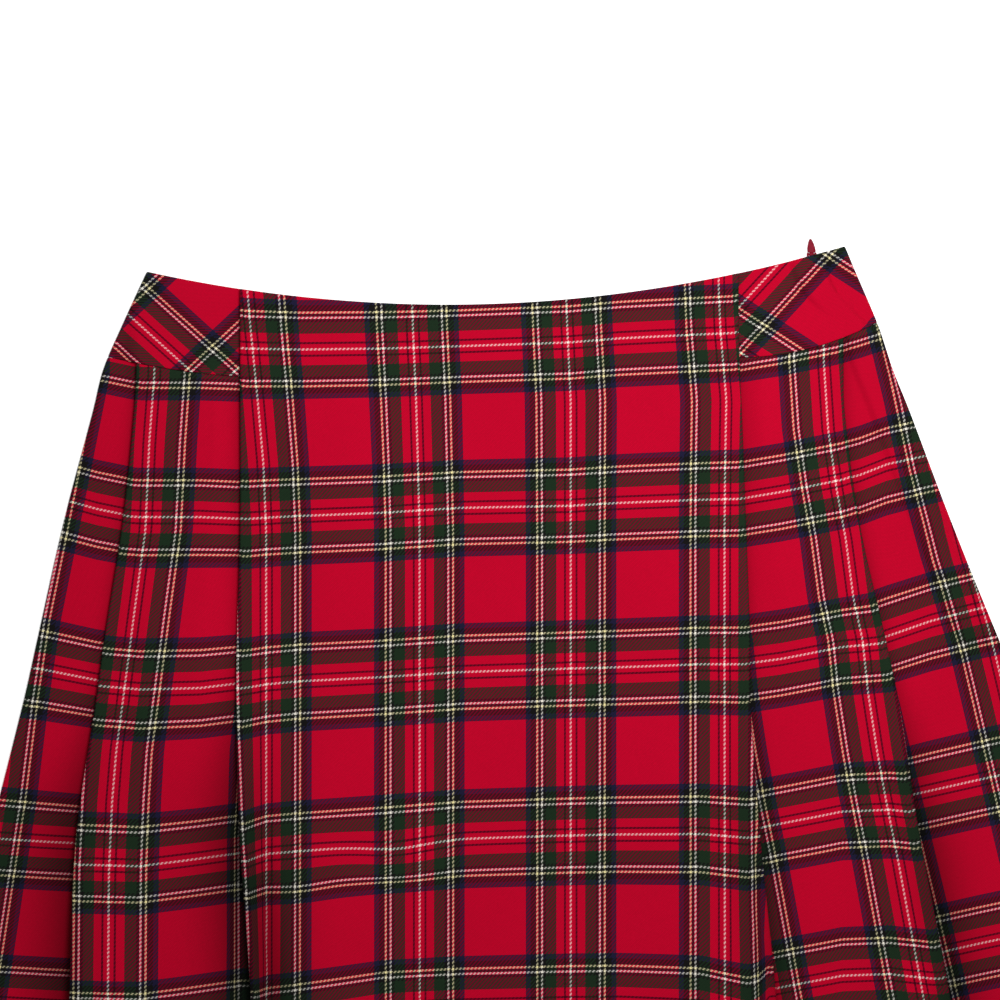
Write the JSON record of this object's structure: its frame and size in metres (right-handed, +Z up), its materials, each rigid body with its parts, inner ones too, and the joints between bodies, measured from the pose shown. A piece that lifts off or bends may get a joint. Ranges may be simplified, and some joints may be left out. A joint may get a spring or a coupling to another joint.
{
  "type": "pleated skirt",
  "caption": "Knee-length tartan skirt laid flat, with knife pleats, bias hip yokes and a side zip with a hinged pull.",
  "frame": {"origin": "on the surface the skirt lies on, under the middle of its bounding box", "axes": "+X across the skirt to the zip side, +Y up the skirt to the waist, +Z up through the layers of cloth"},
  "size_m": [0.7134, 0.614, 0.0077],
  "materials": {
    "tartan": "matt wool-like twill in a red tartan",
    "tartan_back": "matt wool-like twill in a red tartan",
    "zip_cloth": "matt woven tape",
    "zip_metal": "red enamel, half gloss"
  },
  "bodies": {
    "skirt": {"back_panel": "tartan_back", "front_centre_panel": "tartan", "front_mid_panel_left": "tartan", "front_mid_panel_right": "tartan", "front_side_panel_left": "tartan", "front_side_panel_right": "tartan", "hip_yoke_left": "tartan", "hip_yoke_right": "tartan", "zip_tape": "zip_cloth", "zip_slider": "zip_metal"},
    "pull": {"zip_pull": "zip_metal"}
  },
  "joints": [
    {"name": "zip_pull_swing", "type": "hinge", "parent": "skirt", "child": "pull", "pos_m": [0.12198, 0.29925, 0.0024], "axis": [1, 0, 0], "range_deg": [0, 60]}
  ]
}
